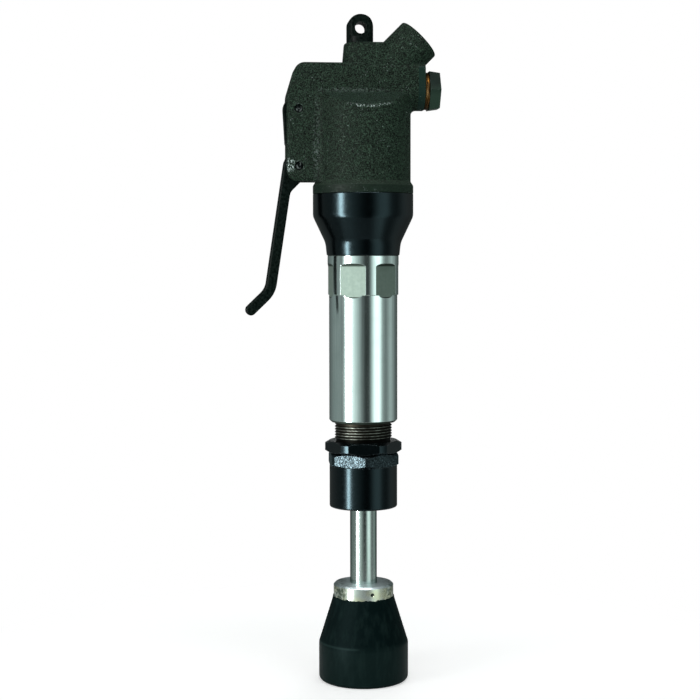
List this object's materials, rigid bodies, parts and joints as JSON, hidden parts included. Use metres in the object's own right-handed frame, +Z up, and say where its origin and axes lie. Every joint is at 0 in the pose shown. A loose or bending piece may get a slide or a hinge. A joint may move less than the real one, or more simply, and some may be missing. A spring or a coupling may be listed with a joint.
{
  "type": "pneumatic sand rammer",
  "caption": "Air-driven bench sand rammer: cast throttle head with a squeeze lever, steel barrel, sliding piston rod and a rubber butt for tamping moulding sand.",
  "frame": {"origin": "centre of the rubber butt's striking face, on the tool's axis, with the ram fully retracted", "axes": "+Z up the tool's axis to the suspension eye, -X to the throttle lever, +X to the throttle cap and the air inlet"},
  "size_m": [0.1257, 0.065, 0.4322],
  "materials": {
    "wrinkle_paint": "dark green-black wrinkle enamel",
    "black_satin": "black oxide, satin",
    "black_gloss": "black, glossy",
    "cap_paint": "dull dark green",
    "bright_steel": "fine turned and ground",
    "plated_steel": "plated, satin",
    "machined_steel": "machined",
    "copper": "dull copper",
    "bronze": "machined bronze",
    "butt_rubber": "matte black",
    "seal_rubber": "matte black",
    "packing_fibre": "graphited fibre",
    "gasket_fibre": "fibre sheet"
  },
  "bodies": {
    "tool_body": {"head_casting": "wrinkle_paint", "suspension_eye": "black_satin", "inlet_bushing": "machined_steel", "inlet_strainer": "bronze", "throttle_bushing": "bronze", "throttle_cap": "cap_paint", "cap_gasket": "copper", "throttle_spring": "machined_steel", "lever_pin": "machined_steel", "rocker_pin": "machined_steel", "coupling_sleeve": "black_gloss", "valve_chest": "machined_steel", "valve_cover": "machined_steel", "valve_dowels": "machined_steel", "chest_gasket": "gasket_fibre", "cylinder_barrel": "bright_steel", "lock_nut": "black_gloss", "gland_nut": "black_gloss", "rod_bushing": "bronze", "rod_packing": "packing_fibre", "rod_wiper": "seal_rubber"},
    "lever": {"throttle_lever": "black_satin"},
    "rocker": {"throttle_rocker": "black_satin"},
    "throttle_valve": {"throttle_plunger": "machined_steel", "throttle_poppet": "machined_steel", "poppet_seal": "seal_rubber"},
    "main_valve": {"main_valve": "machined_steel"},
    "ring_set": {"piston_rings": "machined_steel"},
    "ram": {"piston_rod": "bright_steel", "butt_hub": "plated_steel", "butt_pin": "machined_steel", "rubber_butt": "butt_rubber"}
  },
  "joints": [
    {"name": "lever_squeeze", "type": "hinge", "parent": "tool_body", "child": "lever", "pos_m": [-0.0423, 0, 0.3353], "axis": [0, -1, 0], "range_deg": [0, 16], "stiffness_Nm_per_rad": 0.6, "springref_deg": -20.05},
    {"name": "rocker_swing", "type": "hinge", "parent": "tool_body", "child": "rocker", "pos_m": [-0.0423, 0, 0.3715], "axis": [0, 1, 0], "range_deg": [0, 14.1]},
    {"name": "throttle_lift", "type": "slide", "parent": "tool_body", "child": "throttle_valve", "axis": [1, 0, 0], "range_m": [0, 0.0033], "deforming": ["throttle_spring"]},
    {"name": "main_valve_shift", "type": "slide", "parent": "tool_body", "child": "main_valve", "axis": [0, 0, 1], "range_m": [0, 0.003]},
    {"name": "ram_stroke", "type": "slide", "parent": "tool_body", "child": "ring_set", "axis": [0, 0, -1], "range_m": [0, 0.1]},
    {"name": "ram_turn", "type": "hinge", "parent": "ring_set", "child": "ram", "pos_m": [0, 0, 0.1], "axis": [0, 0, 1], "continuous": true}
  ],
  "couplings": [
    {"joint": "rocker_swing", "follows": "lever_squeeze", "ratio": 0.88},
    {"joint": "throttle_lift", "follows": "lever_squeeze", "m_per_rad": 0.011}
  ]
}
